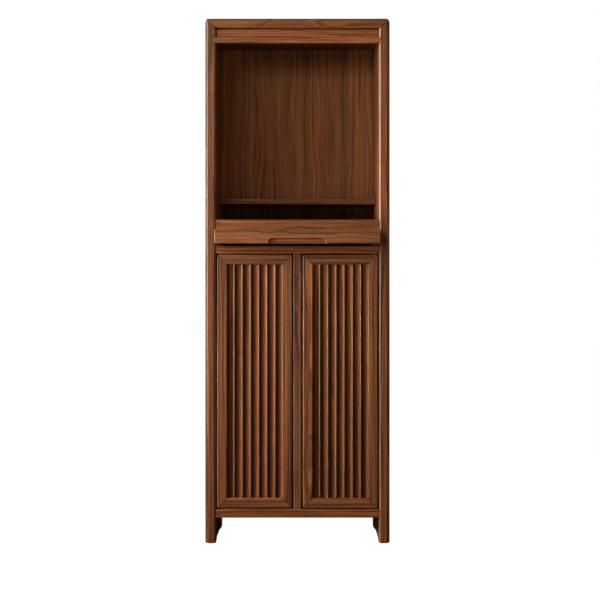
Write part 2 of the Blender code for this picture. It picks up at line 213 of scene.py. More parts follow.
def node(tree, kind, sockets=None, **settings):
    """Add a shader node, with its settings and with each socket joined or set."""
    made = tree.nodes.new("ShaderNode" + kind)
    for name, value in settings.items():
        setattr(made, name, value)
    for key, value in (sockets or {}).items():
        if isinstance(value, bpy.types.NodeSocket):
            tree.links.new(value, made.inputs[key])
        else:
            made.inputs[key].default_value = value
    return made


def use_group(tree, group, sockets):
    return node(tree, "Group", sockets, node_tree=group).outputs


def maths(tree, operation, first, second=0.0, third=0.0):
    return node(tree, "Math", {0: first, 1: second, 2: third}, operation=operation).outputs[0]


def vector_maths(tree, operation, first, second):
    return node(tree, "VectorMath", {0: first, 1: second}, operation=operation).outputs[0]


def scaled(tree, vector, factor):
    return node(tree, "VectorMath", {0: vector, "Scale": factor}, operation="SCALE").outputs[0]


def noise(tree, vector, detail, roughness=0.5):
    sockets = {"Vector": vector, "Scale": 1.0, "Detail": detail, "Roughness": roughness}
    return node(tree, "TexNoise", sockets).outputs


def fine_noise(tree, place, factors, detail, roughness=0.5):
    """Noise over a place multiplied by a factor for each direction."""
    return noise(tree, vector_maths(tree, "MULTIPLY", place, factors), detail, roughness)


def spread(tree, value, low, high, to_low, to_high):
    sockets = {"Value": value, "From Min": low, "From Max": high, "To Min": to_low, "To Max": to_high}
    return node(tree, "MapRange", sockets, interpolation_type="SMOOTHSTEP").outputs[0]


def thin_lines(tree, place, factors, width):
    """1 along the middle value of a fine noise, fading to 0 at width from it."""
    away = maths(tree, "SUBTRACT", fine_noise(tree, place, factors, 1.0)[0], 0.5)
    away = maths(tree, "ABSOLUTE", away)
    return spread(tree, away, 0.0, width, 1.0, 0.0)


def blend_colour(tree, factor, first, second, held=True):
    """Mix of two colours. Where the factor is not held to 0 and 1, it goes on beyond both."""
    sockets = {0: factor, 6: first, 7: second}
    return node(tree, "Mix", sockets, data_type="RGBA", clamp_factor=held).outputs[2]


def node_group(name, inputs, outputs):
    """Empty shader node group with named sockets, and its two end nodes."""
    tree = bpy.data.node_groups.new(name, "ShaderNodeTree")
    for label, kind, value in inputs:
        socket = tree.interface.new_socket(label, in_out="INPUT", socket_type="NodeSocket" + kind)
        if value is not None:
            socket.default_value = value
    for label, kind in outputs:
        tree.interface.new_socket(label, in_out="OUTPUT", socket_type="NodeSocket" + kind)
    given = tree.nodes.new("NodeGroupInput").outputs
    result = tree.nodes.new("NodeGroupOutput").inputs
    return tree, given, result


def walnut_wood_group():
    """Sawn walnut: bands and year rings by distance from the heart, fibres and pores along it."""
    inputs = [
        ("Place", "Vector", None),
        ("Light", "Color", (0.2, 0.08, 0.03, 1.0)),
        ("Dark", "Color", (0.08, 0.03, 0.012, 1.0)),
        ("Bands", "Float", 55.0),
        ("Sweep", "Float", 0.05),
        ("Contrast", "Float", 1.0),
        ("Streaks", "Float", 1.9),
    ]
    outputs = [("Colour", "Color"), ("Roughness", "Float"), ("Height", "Float")]
    tree, given, result = node_group("walnut_wood", inputs, outputs)
    place = given["Place"]
    drift = fine_noise(tree, place, (2.2, 6.0, 6.0), 2.0)["Color"]
    drift = scaled(tree, vector_maths(tree, "SUBTRACT", drift, (0.5, 0.5, 0.5)), given["Sweep"])
    bent = vector_maths(tree, "MULTIPLY", vector_maths(tree, "ADD", place, drift), (0.0, 1.0, 1.0))
    radius = node(tree, "VectorMath", {0: bent}, operation="LENGTH").outputs["Value"]
    along = node(tree, "SeparateXYZ", {0: place}).outputs[0]
    band_place = node(tree, "CombineXYZ", {
        0: maths(tree, "MULTIPLY", radius, given["Bands"]),
        1: maths(tree, "MULTIPLY", along, 0.5),
    }).outputs[0]
    bands = noise(tree, band_place, 3.0, 0.55)[0]
    veins = fine_noise(tree, band_place, (3.6, 1.6, 0.0), 2.0, 0.65)[0]
    lines = thin_lines(tree, band_place, (2.3, 1.2, 0.0), 0.06)
    hairs = thin_lines(tree, band_place, (5.3, 1.5, 0.0), 0.05)
    fibres = fine_noise(tree, place, (7.0, 480.0, 480.0), 3.0, 0.6)[0]
    streaks = fine_noise(tree, place, (1.5, 170.0, 170.0), 2.0, 0.6)[0]
    turns = maths(tree, "MULTIPLY_ADD", radius, 330.0, maths(tree, "MULTIPLY", fibres, 0.5))
    late = maths(tree, "POWER", maths(tree, "FRACT", turns), 3.0)
    pores = fine_noise(tree, place, (38.0, 1500.0, 1500.0), 0.0)[0]
    pores = spread(tree, pores, 0.60, 0.70, 0.0, 1.0)
    # Each part is added less its middle value, times its weight
    tone = 0.70
    for part, middle, weight in (
        (bands, 0.5, 1.3),
        (veins, 0.5, 2.4),
        (streaks, 0.5, given["Streaks"]),
        (lines, 0.0, -0.42),
        (hairs, 0.0, -0.26),
        (late, 0.0, -0.22),
        (fibres, 0.5, 0.9),
    ):
        tone = maths(tree, "MULTIPLY_ADD", maths(tree, "SUBTRACT", part, middle), weight, tone)
    tone = maths(tree, "MULTIPLY_ADD", maths(tree, "SUBTRACT", tone, 0.5), given["Contrast"], 0.5)
    tone = node(tree, "Clamp", {0: tone, 1: -0.2, 2: 1.35}).outputs[0]
    colour = blend_colour(tree, tone, given["Dark"], given["Light"], held=False)
    tint = spread(tree, fine_noise(tree, place, (1.2, 45.0, 45.0), 1.0)[0], 0.35, 0.65, 0.0, 1.0)
    tint = blend_colour(tree, tint, (0.95, 1.03, 1.12, 1.0), (1.05, 0.97, 0.90, 1.0))
    colour = scaled(tree, vector_maths(tree, "MULTIPLY", colour, tint),
                    maths(tree, "MULTIPLY_ADD", pores, -0.35, 1.0))
    rough = maths(tree, "MULTIPLY_ADD", fibres, 0.14, 0.40)
    height = maths(tree, "MULTIPLY_ADD", late, -0.3, maths(tree, "MULTIPLY", fibres, 0.5))
    tree.links.new(colour, result["Colour"])
    tree.links.new(maths(tree, "MULTIPLY_ADD", pores, 0.15, rough), result["Roughness"])
    tree.links.new(maths(tree, "MULTIPLY_ADD", pores, -1.0, height), result["Height"])
    return tree


def arris_wear_and_highlight_group():
    """Rubbed edges: smoother and shinier than the rest, more in some places, and paler, partly from
    rubbing and partly as a painted highlight.
    """
    inputs = [
        ("Colour", "Color", (0.2, 0.1, 0.05, 1.0)),
        ("Roughness", "Float", 0.4),
        ("Arris", "Float", 0.0),
        ("Place", "Vector", None),
    ]
    outputs = [("Colour", "Color"), ("Roughness", "Float"), ("Coat", "Float")]
    tree, given, result = node_group("arris_wear_and_highlight", inputs, outputs)
    patches = fine_noise(tree, given["Place"], (14.0, 40.0, 40.0), 3.0)[0]
    mask = maths(tree, "MULTIPLY", given["Arris"], spread(tree, patches, 0.25, 0.7, 0.75, 1.0))
    tree.links.new(maths(tree, "MULTIPLY", mask, 0.65), result["Coat"])
    # Paler colour on arrises: partly from rubbing, partly a painted highlight
    mask = maths(tree, "MULTIPLY", mask, 0.3)
    pale = vector_maths(tree, "MULTIPLY", given["Colour"], (1.7, 1.9, 2.4))
    tree.links.new(blend_colour(tree, mask, given["Colour"], pale), result["Colour"])
    tree.links.new(maths(tree, "MULTIPLY_ADD", mask, -0.12, given["Roughness"]), result["Roughness"])
    return tree


def veneer_leaves_group():
    """Veneer laid in upright leaves: each leaf is cut from its own place and has its own tone."""
    inputs = [("Place", "Vector", None), ("Width", "Float", 0.09)]
    tree, given, result = node_group("veneer_leaves", inputs, [("Place", "Vector"), ("Tone", "Float")])
    parts = node(tree, "SeparateXYZ", {0: given["Place"]}).outputs
    turns = maths(tree, "DIVIDE", parts[1], given["Width"])
    leaf = maths(tree, "FLOOR", turns)
    draw = node(tree, "TexWhiteNoise", {"W": leaf}, noise_dimensions="1D").outputs
    slide = maths(tree, "MULTIPLY_ADD", draw["Value"], 7.0, parts[0])
    within = maths(tree, "MULTIPLY", maths(tree, "FRACT", turns), given["Width"])
    within = maths(tree, "ADD", maths(tree, "MULTIPLY_ADD", draw["Value"], 0.1, within), 0.03)
    shifted = node(tree, "CombineXYZ", {0: slide, 1: within, 2: parts[2]}).outputs[0]
    tree.links.new(shifted, result["Place"])
    tree.links.new(maths(tree, "MULTIPLY_ADD", draw["Value"], 0.4, 0.8), result["Tone"])
    return tree


WOOD = walnut_wood_group()
ARRIS = arris_wear_and_highlight_group()
LEAVES = veneer_leaves_group()


def shader_of(name):
    """New node material, its tree and its Principled shader."""
    material = bpy.data.materials.new(name)
    material.use_nodes = True
    return material, material.node_tree, material.node_tree.nodes["Principled BSDF"]


def walnut(name, light, dark, bands=55.0, sweep=0.035, contrast=1.0, streaks=1.9, leaves=0.0,
           matt=0.0, specular=0.2):
    """Oiled walnut with its own pair of tones, linear values.

    Where leaves is more than 0, it is veneer in leaves of that width.
    """
    material, tree, shader = shader_of(name)
    place = node(tree, "Attribute", attribute_name="grain").outputs["Vector"]
    arris = node(tree, "Attribute", attribute_name="arris").outputs["Fac"]
    tone = node(tree, "Attribute", attribute_name="tone").outputs["Fac"]
    wood_place = place
    if leaves:
        leaf = use_group(tree, LEAVES, {"Place": place, "Width": leaves})
        wood_place = leaf["Place"]
        tone = maths(tree, "MULTIPLY", tone, leaf["Tone"])
    wood = use_group(tree, WOOD, {
        "Place": wood_place,
        "Light": (*light, 1.0),
        "Dark": (*dark, 1.0),
        "Bands": bands,
        "Sweep": sweep,
        "Contrast": contrast,
        "Streaks": streaks,
    })
    rubbed_and_highlit = use_group(tree, ARRIS, {
        "Colour": scaled(tree, wood["Colour"], tone),
        "Roughness": wood["Roughness"],
        "Arris": arris,
        "Place": place,
    })
    tree.links.new(rubbed_and_highlit["Colour"], shader.inputs["Base Color"])
    tree.links.new(maths(tree, "ADD", rubbed_and_highlit["Roughness"], matt), shader.inputs["Roughness"])
    bump = node(tree, "Bump", {"Height": wood["Height"], "Strength": 0.25, "Distance": 0.0002})
    tree.links.new(bump.outputs[0], shader.inputs["Normal"])
    tree.links.new(rubbed_and_highlit["Coat"], shader.inputs["Coat Weight"])
    shader.inputs["Coat Roughness"].default_value = 0.28
    shader.inputs["Specular IOR Level"].default_value = specular
    return material


def brass_material():
    """Turned brass gone brown with age, with fine rings of the tool and some tarnish."""
    material, tree, shader = shader_of("brass_turned")
    spot = node(tree, "TexCoord").outputs["Object"]
    rings = fine_noise(tree, spot, (60.0, 60.0, 5000.0), 2.0)[0]
    tarnish = fine_noise(tree, spot, (300.0, 300.0, 300.0), 3.0)[0]
    colour = blend_colour(tree, spread(tree, tarnish, 0.4, 0.7, 0.0, 1.0),
                          (0.11, 0.065, 0.028, 1.0), (0.04, 0.024, 0.012, 1.0))
    tree.links.new(colour, shader.inputs["Base Color"])
    tree.links.new(maths(tree, "MULTIPLY_ADD", rings, 0.25, 0.18), shader.inputs["Roughness"])
    shader.inputs["Metallic"].default_value = 1.0
    return material


# Shapes

def corner(radius):
    """Quarter circle: u is radius (1 - cos angle) and v is radius (1 - sin angle)."""
    return np.stack((radius * (1 - np.cos(QUARTER)), radius * (1 - np.sin(QUARTER))), axis=1)


def flattened(radius, share):
    """Quarter circle moved by a share of the way to its chord."""
    part = np.linspace(0.0, radius, ARC_STEPS + 1)
    chord = np.stack((part, radius - part), axis=1)
    return corner(radius) * (1 - share) + chord * share


def far_corner(radius, length):
    """Quarter circle at the other end of a face of that length."""
    end = corner(radius)[::-1]
    end[:, 0] = length - end[:, 0]
    return end


def facing_chain(chain, thickness):
    """The opposite face of a board: the same chain with v counted from the other side."""
    return np.stack((chain[:, 0], thickness - chain[:, 1]), axis=1)


def eased_rows(near, far, ease):
    """The t and the inset of each ring of a section whose two ends are rounded off.

    The t is ease (1 - cos angle) from each end, and the inset is ease (1 - sin angle).
    """
    shift, inset = corner(ease).T
    t = np.concatenate((near + shift[:, None], far - shift[::-1, None]))
    return t, np.concatenate((inset, inset[::-1]))[:, None]


def rings_of(t, u, v):
    """Rings of (t, u, v) from three arrays that are the same for each ring or for each point."""
    return np.stack(np.broadcast_arrays(t, u, v), axis=-1)


def drawn_in(section, t, inset):
    """Rings of a section at t, drawn in by inset.

    Each point moves to the section's middle by inset times its share of the half size.
    """
    low = section.min(axis=0)
    high = section.max(axis=0)
    middle = (low + high) / 2
    share = (section - middle) / ((high - low) / 2)
    return np.concatenate((t[..., None], section - inset[..., None] * share), axis=-1)


def shell(replaces, rings, axes, origin, heart, seed, material, body, wear_and_highlight, tone, rubbed_and_highlit=0.0):
    """Closed surface of rings (ring, point, (t, u, v)); points i and n-1-i of a ring face each other.

    A point is origin + t, u and v times the three axes. Its grain is (t + TREE_STEP seed, u, v) less
    the heart. Its arris is rubbed plus wear times how far its normal leans from the nearest axis; it
    marks both rubbing and a painted highlight.
    """
    name = "walnut_" + replaces
    m, n = rings.shape[:2]
    index = np.arange(m * n).reshape(m, n)
    low, high = index[:-1], index[1:]
    around = np.stack((low, np.roll(low, -1, 1), np.roll(high, -1, 1), high), axis=-1).reshape(-1, 4)
    i = np.arange(n // 2 - 1)
    lid = np.stack((i, i + 1, n - 2 - i, n - 1 - i), axis=-1)
    faces = np.concatenate((around, lid[:, ::-1], lid + index[-1, 0]))
    points = (rings @ np.array(axes, float) + np.array(origin, float)).reshape(-1, 3)
    corners = points[faces]
    volume = np.einsum("ij,ij->i", corners[:, 0], np.cross(corners[:, 1], corners[:, 2])).sum()
    volume += np.einsum("ij,ij->i", corners[:, 0], np.cross(corners[:, 2], corners[:, 3])).sum()
    if volume < 0:
        faces = faces[:, ::-1]
    mesh = bpy.data.meshes.new(name)
    mesh.from_pydata(points.tolist(), [], faces.tolist())
    grain = rings.reshape(-1, 3) - np.array((-seed * TREE_STEP, *heart))
    mesh.attributes.new("grain", "FLOAT_VECTOR", "POINT").data.foreach_set("vector", grain.ravel())
    normals = np.empty(len(points) * 3)
    mesh.vertex_normals.foreach_get("vector", normals)
    lean = 1 - np.abs(normals.reshape(-1, 3)).max(axis=1)
    worn_and_highlit, rubbed_and_highlit = (np.broadcast_to(value, (m, n)).ravel() for value in (wear_and_highlight, rubbed_and_highlit))
    arris = np.clip(ARRIS_GAIN * lean, 0, 1) * worn_and_highlit + rubbed_and_highlit
    mesh.attributes.new("arris", "FLOAT", "POINT").data.foreach_set("value", arris)
    tones = np.broadcast_to(tone, (m, n)).ravel()
    mesh.attributes.new("tone", "FLOAT", "POINT").data.foreach_set("value", tones)
    mesh.polygons.foreach_set("use_smooth", np.ones(len(faces), bool))
    mesh.set_sharp_from_angle(angle=SMOOTH_BELOW)
    mesh.materials.append(material)
    mesh.update()
    thing = bpy.data.objects.new(name, mesh)
    bpy.context.scene.collection.objects.link(thing)
    flat = thing.modifiers.new("flat_faces", "WEIGHTED_NORMAL")
    flat.keep_sharp = True
    flat.weight = 100
    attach(thing, body)
    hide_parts(replaces)


def box(name):
    low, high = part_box(name)
    return np.array(low), np.array(high)


# u runs back from the front, v runs up, t runs to the right
LEVEL = ((1, 0, 0), (0, 1, 0), (0, 0, 1))
# u runs to the right, v runs back, t runs up
UPRIGHT = ((0, 0, 1), (1, 0, 0), (0, 1, 0))


def level_board(name, material, seed, body="cabinet", front=0.002, ease=0.0015, scribe=0.0,
                tone=1.0, end_gap=0.0, top_gap=0.0):
    """Board from side to side: a rounded section carried along x.

    Where scribe is more than 0, each end reaches out by scribe - u over the sides' chamfer. The
    gaps leave shadow lines beside and above it.
    """
    low, high = box(name)
    low = low + (end_gap, 0.0, 0.0)
    size = high - low - (end_gap, 0.0, top_gap)
    station = (scribe or size[1] / 2, 0.0)
    chain = np.concatenate((corner(front), [station], far_corner(BOARD_BACK_ROUND, size[1])))
    section = np.concatenate((chain, facing_chain(chain, size[2])[::-1]))
    retreat = np.clip(section[:, 0], 0, scribe)
    rings = drawn_in(section, *eased_rows(retreat, size[0] - retreat, ease))
    heart = (LEVEL_HEART[0], LEVEL_HEART[1] + size[2] / 2)
    shell(name, rings, LEVEL, low, heart, seed, material, body, BOARD_WEAR_AND_HIGHLIGHT, tone)


def upright_board(name, material, seed, arris=0.002, heart=(0.0, 0.08), tone=1.0, painted_shade_span=None):
    """Upright board: a rounded section carried along z.

    Where a span of two heights is given, its front below them is darkened as painted shade, and its
    tone rises from that shade to 1 between them.
    """
    low, high = box(name)
    size = high - low
    chain = np.concatenate((corner(arris), far_corner(BOARD_BACK_ROUND, size[1])))[:, ::-1]
    section = np.concatenate((chain, np.stack((size[0] - chain[:, 0], chain[:, 1]), axis=1)[::-1]))
    t, inset = eased_rows(np.zeros(len(section)), np.full(len(section), size[2]), UPRIGHT_END_ROUND)
    if painted_shade_span:
        middle = len(t) // 2
        t = np.insert(t, middle, np.array(painted_shade_span)[:, None] - low[2], axis=0)
        inset = np.insert(inset, middle, np.zeros((2, 1)), axis=0)
        # Rows of the front below the span get painted shade
        painted_shade_rows = (t < painted_shade_span[1] - low[2] - SHARP) & (section[:, 1] < size[1] / 2)
        tone = np.where(painted_shade_rows, UNDER_SHELF_PAINTED_SHADE, 1.0)
    rings = drawn_in(section, t, inset)
    heart = (heart[0] + size[0] / 2, heart[1])
    shell(name, rings, UPRIGHT, low, heart, seed, material, "cabinet", SLENDER_WEAR_AND_HIGHLIGHT, tone)


def frame_chains(depth, thickness, stations):
    """Outer and inner chain of the outer frame's section: (back from the front, in from outside).

    Outside is a flattened quarter circle, the face and a small quarter circle at the back. Inside
    is the eased chamfer, the face and the rebate for the back panels.
    """
    stations = np.asarray(stations, float)
    face = np.stack((stations, np.zeros(len(stations))), axis=1)
    rear = depth - REBATE_DEPTH
    front = flattened(FRAME_ROUND, FRAME_FLATNESS)
    outer = np.concatenate((front, face, far_corner(BACK_ROUND, depth)))
    turn = np.radians((0.0, 22.5, 45.0))
    reach = CHAMFER_EASE * math.tan(math.pi / 8)
    first = np.stack((CHAMFER_EASE * (1 - np.cos(turn)),
                      thickness - FRAME_CHAMFER - reach + CHAMFER_EASE * np.sin(turn)), axis=1)
    turn = np.radians((45.0, 67.5, 90.0))
    second = np.stack((FRAME_CHAMFER + reach - CHAMFER_EASE * np.cos(turn),
                       thickness - CHAMFER_EASE + CHAMFER_EASE * np.sin(turn)), axis=1)
    step = thickness - REBATE_WIDTH
    rebate = np.array(((rear, thickness), (rear + SHARP, step), (rear + REBATE_FIRST, step),
                       (depth - REBATE_LAST, step), (depth - REBATE_EASE, step),
                       (depth, step - REBATE_EASE)))
    inner = np.concatenate((first, second, face + (0.0, thickness), rebate))
    return outer, inner


def mitred_end(v, reach, slope):
    """Rings of the rounded and mitred end of a frame member.

    v is held to at least r (1 - cos angle). t is the lower of reach - r + r sin(angle) and the
    mitre, reach - slope v, less HEAD_RING_STEP for each ring below the last.
    """
    angle = np.linspace(0.0, math.pi / 4, ARC_STEPS + 1)[:, None]
    held = np.maximum(v[None], CORNER_RADIUS * (1 - np.cos(angle)))
    rest = HEAD_RING_STEP * np.arange(ARC_STEPS, -1, -1)[:, None]
    mitre = reach - slope * held - MITRE_GAP - rest
    return np.minimum(reach - CORNER_RADIUS + CORNER_RADIUS * np.sin(angle), mitre), held


def smooth_step(x):
    x = np.clip(x, 0, 1)
    return x * x * (3 - 2 * x)


def frame_side(hand, name, material, seed):
    """Side: the frame's section carried up from its feet to the mitre.

    The underside rises over the relief by an S-curve x x (3 - 2 x) at both ends, and its edges are
    rounded off by drawing each ring in. Its rings stay in pairs of facing points. Its front and its
    outer arris carry painted light and shade that change with the height.
    """
    low, high = box(name)
    depth = high[1] - low[1]
    stop = depth - BACK_FOOT
    run = np.linspace(0.0, 1.0, RELIEF_STEPS)
    stations = np.concatenate((FRONT_FOOT + RELIEF_RUN * run, stop - RELIEF_RUN * run[::-1]))
    outer, inner = frame_chains(depth, SIDE_THICKNESS, stations)
    section = np.concatenate((outer, inner[::-1]))
    u, v = section.T
    share = smooth_step((u - FRONT_FOOT) / RELIEF_RUN) * smooth_step((stop - u) / RELIEF_RUN)
    ease = FOOT_EASE + (RELIEF_EASE - FOOT_EASE) * share
    shift = 1 - np.cos(QUARTER)[:, None]
    inset = 1 - np.sin(QUARTER)[:, None]
    foot = drawn_in(section, RELIEF_HEIGHT * share + ease * shift, ease * inset)
    head_t, head_v = mitred_end(v, high[2], TOP_THICKNESS / SIDE_THICKNESS)
    head = rings_of(head_t, u, head_v)
    rings = np.concatenate((foot, rings_of(PAINTED_LIGHT_HEIGHTS[:, None], u, v), head))
    shares = (len(foot), 1, 1, 1, len(head))
    # Painted light and shade by height, on the front face and on the outer arris
    tones = 1 + (np.repeat(FRONT_PAINTED_LIGHT[name], shares)[:, None] - 1) * np.clip(1 - u / PAINTED_LIGHT_REACH, 0, 1)
    tones[:, 1:ARC_STEPS + 1] = np.repeat(ARRIS_PAINTED_LIGHT[name], shares)[:, None]
    axes = ((0, 0, 1), (0, 1, 0), (-hand, 0, 0))
    origin = (high[0] if hand > 0 else low[0], low[1], 0.0)
    shell(name, rings, axes, origin, SIDE_HEART, seed, material, "cabinet", FRAME_WEAR_AND_HIGHLIGHT, tones)


def frame_top(name, material, seed):
    """Top board: the frame's section carried across, rounded and mitred at both ends."""
    low, high = box(name)
    depth = high[1] - low[1]
    outer, inner = frame_chains(depth, TOP_THICKNESS, [depth * 0.4, depth * 0.6])
    section = np.concatenate((outer, inner[::-1]))
    u, v = section.T
    half = -box("side_left")[0][0]
    end_t, end_v = mitred_end(v, half, SIDE_THICKNESS / TOP_THICKNESS)
    rings = np.concatenate((rings_of(-end_t, u, end_v)[::-1], rings_of(end_t, u, end_v)))
    axes = ((1, 0, 0), (0, 1, 0), (0, 0, -1))
    shell(name, rings, axes, (0.0, low[1], high[2]), TOP_HEART, seed, material, "cabinet",
          FRAME_WEAR_AND_HIGHLIGHT, TOP_TONE)


def door_member(hand, side, part, material, seed, tone):
    """Mitred member of a door's frame: its section is carried along it, shorter by v at each end.

    The section's outer chain runs back along the door's outer edge, and its inner chain back along
    the inner arris, the lip and the rebate. The mitre lines are darker, and their arrises stay plain:
    no paler colour, no painted highlight, no coat.
    """
    name = f"door_{side}_{part}"
    low, high = box(name)
    thickness = high[1] - low[1]
    front = corner(DOOR_ARRIS)
    rear = far_corner(DOOR_BACK_ROUND, thickness)
    lip = np.array(((DOOR_LIP - LIP_STEP, 0.0), (DOOR_LIP, LIP_STEP)))
    outer = np.concatenate((front, lip * (1, 0), rear))
    inner = facing_chain(np.concatenate((front, lip, rear)), DOOR_FRAME_WIDTH)
    inner[ARC_STEPS + 2:, 1] -= DOOR_REBATE
    section = np.concatenate((outer, inner[::-1]))
    u, v = section.T
    upright = "stile" in part
    length = (high - low)[2 if upright else 0] + 2 * MITRE_GAP
    near = v + MITRE_GAP + JOINT_DISTANCES[:, None]
    rings = rings_of(np.concatenate((near, length - near[::-1])), u, v)
    joint = tone * np.array(JOINT_TONES + JOINT_TONES[::-1])[:, None]
    wear_and_highlight = np.where(joint < tone, 0.0, SLENDER_WEAR_AND_HIGHLIGHT)
    if upright:
        inward = -hand if part == "outer_stile" else hand
        start = low[0] if inward > 0 else high[0]
        axes = ((0, 0, 1), (0, 1, 0), (inward, 0, 0))
        origin = (start, low[1], low[2] - MITRE_GAP)
    else:
        inward = 1 if part == "bottom_rail" else -1
        start = low[2] if inward > 0 else high[2]
        axes = ((1, 0, 0), (0, 1, 0), (0, 0, inward))
        origin = (low[0] - MITRE_GAP, low[1], start)
    heart = FLAMED_HEART if name == "door_right_inner_stile" else DOOR_HEART
    shell(name, rings, axes, origin, heart, seed, material, f"door_{side}", wear_and_highlight, joint)


def fluted_panel(side, material, seed):
    """Fluted panel: its front is a depth curve over the width, carried up.

    A flute is depth (1 - |x / half chord| to the power 4), so its bottom is nearly flat, and a
    ridge between two flutes is a parabola, drop (x / half width) squared. Under the door's frame
    the panel is flat.
    """
    name = f"door_{side}_panel"
    low, high = box(name)
    width, thickness, height = high - low
    half = width / 2 - PANEL_TONGUE + FLUTE_UNDERLAP
    pitch = 2 * half / FLUTES
    half_chord = (pitch - RIDGE_WIDTH) / 2
    share = np.sin(np.linspace(-math.pi / 2, math.pi / 2, FLUTE_STEPS))
    ridge = np.linspace(half_chord, half_chord + RIDGE_WIDTH, RIDGE_STEPS)[1:-1]
    ridge_v = RIDGE_DROP * ((ridge - pitch / 2) / (RIDGE_WIDTH / 2)) ** 2
    one_x = np.concatenate((half_chord * share, ridge))
    one_v = np.concatenate((RIDGE_DROP + FLUTE_DEPTH * (1 - np.abs(share) ** FLUTE_POWER), ridge_v))
    middles = (np.arange(FLUTES) + 0.5) * pitch - half
    x = (middles[:, None] + one_x).ravel()[:-len(ridge)]
    v = np.tile(one_v, FLUTES)[:-len(ridge)]
    x = np.concatenate(([-width / 2], x, [width / 2])) + width / 2
    v = np.concatenate(([RIDGE_DROP], v, [RIDGE_DROP]))
    u = np.concatenate((x, x[::-1]))
    v = np.concatenate((v, np.full(len(x), thickness)))
    rings = rings_of(np.array((0.0, height))[:, None], u, v)
    # Ridge tops are paler: partly from rubbing, partly a painted highlight
    ridges = np.clip(2.0 - v / (RIDGE_WORN_AND_HIGHLIT * RIDGE_DROP), 0, 1)
    phase = (u - width / 2 + half) / pitch % 1.0
    inside = (np.abs(u - width / 2) < half) & (v < thickness)
    # Painted shade and highlight across each flute, by its place in the pitch
    tone = np.where(inside, np.interp(phase, FLUTE_PAINTED_LIGHT_PLACES, FLUTE_PAINTED_LIGHT), 1.0)
    heart = (width * FLUTED_HEART[0], FLUTED_HEART[1])
    shell(name, rings, UPRIGHT, low, heart, seed, material, f"door_{side}", 0.0, tone,
          ridges)


def back_panel(name, material, seed, painted_shade_span=None):
    """Flat panel in the rebate behind, with lightly eased edges. Where a span is given, it is darkened
    below it as painted shade.
    """
    upright_board(name, material, seed, arris=0.001, heart=PANEL_HEART, painted_shade_span=painted_shade_span)


def tray_apron(material, seed):
    """Tray front: its front is a depth map over x and z, with the finger recess.

    The recess is as deep as a smooth step of the distance inside a round-cornered outline that is
    open at the lower edge. The other edges are rounded by drawing the face in. The recess is darkened
    the deeper it goes, as painted shade.
    """
    low, high = box("tray_apron")
    width, thickness, height = high - low
    edge = corner(APRON_ROUND)
    recess_end = width / 2 - RECESS_HALF
    x = np.concatenate((edge[:, 0], np.linspace(APRON_MARGIN, recess_end - APRON_MARGIN, 6),
                        recess_end + np.linspace(*RECESS_END_REACH, 31)))
    x = np.concatenate((x, np.linspace(x[-1] + RECESS_BEYOND, width / 2, 8)))
    x = np.concatenate((x, width - x[-2::-1]))
    z = np.concatenate((edge[:, 0], np.linspace(APRON_ROW_MARGIN, RECESS_HEIGHT - APRON_ROW_MARGIN, 12),
                        RECESS_HEIGHT + RECESS_COVE * np.linspace(-1, 1, 13),
                        np.linspace(ABOVE_RECESS, height - APRON_ROW_MARGIN, 5),
                        height - edge[::-1, 0]))
    round_x = np.concatenate((edge[:, 1], np.zeros(len(x) - 2 * len(edge)), edge[::-1, 1]))
    round_z = np.concatenate((edge[:, 1], np.zeros(len(z) - 2 * len(edge)), edge[::-1, 1]))
    across = np.abs(x[:, None] - width / 2) - (RECESS_HALF - RECESS_RADIUS)
    up = z[None] - (RECESS_HEIGHT - RECESS_RADIUS)
    outside = np.hypot(np.maximum(across, 0), np.maximum(up, 0)) - RECESS_RADIUS
    outside = outside + np.minimum(np.maximum(across, up), 0)
    hollow = RECESS_DEPTH * smooth_step(0.25 - outside / (2 * RECESS_COVE))
    rounding = np.maximum(round_x[:, None], round_z[None])
    front = np.maximum(hollow, rounding)
    back = np.full_like(front, thickness)
    face = rings_of(x[:, None], front, z)
    rear = rings_of(x[:, None], back, z)[:, ::-1]
    rings = np.concatenate((face, rear), axis=1)
    # Painted shade: the recess's face is darker the deeper it goes
    painted_shade = APRON_TONE - RECESS_PAINTED_SHADE * hollow / RECESS_DEPTH
    tones = np.concatenate((painted_shade, np.ones_like(back)), axis=1)
    shell("tray_apron", rings, LEVEL, low, APRON_HEART, seed, material, "tray",
          BOARD_WEAR_AND_HIGHLIGHT, tones)


# Making

make_camera()
WARM = (1.0, 0.89, 0.78)
make_light("fill_light", (0.0, -4.8, 0.6), (0.0, 0.0, 1.1), (1.6, 1.0), 20.0, WARM)
make_light("middle_light", (-0.9, -2.7, 2.0), (0.0, -0.1, 1.75), (0.6, 0.6), 1.6, WARM, 50.0)
make_light("side_light", (-1.65, -2.3, 2.0), (0.05, -0.1, 1.65), (0.6, 0.6), 1.3, WARM, 50.0)
make_light("raking_light", (-2.9, -1.5, 1.5), (0.0, -0.15, 1.2), (0.6, 1.0), 7.5, WARM, 70.0)
make_light("left_light", (-2.6, -0.65, 1.9), (0.0, -0.15, 1.5), (0.6, 1.4), 86.0, (1.0, 0.87, 0.74))
make_light("right_light", (2.6, -3.0, 1.7), (0.0, -0.1, 1.4), (1.2, 1.6), 9.0, (1.0, 0.8, 0.6))
make_light("right_top_light", (3.0, -1.9, 1.9), (0.1, -0.1, 1.6), (1.0, 1.2), 1.8, (1.0, 0.75, 0.5),
           60.0)
make_light("right_side_light", (3.0, 2.4, 1.8), (0.3, 0.1, 1.0), (0.8, 1.6), 70.0, WARM, 180.0, False)
make_light("rear_light", (-0.6, 4.0, 3.0), (0.0, 0.2, 1.1), (2.5, 1.5), 90.0, WARM, 180.0, False)
make_light("low_light", (-2.7, -2.0, 0.75), (0.0, -0.15, 0.6), (0.8, 0.9), 2.4, WARM, 50.0)
make_light("low_raking_light", (-2.9, -1.4, 0.8), (0.0, -0.15, 0.6), (0.6, 1.0), 6.5, WARM, 50.0)

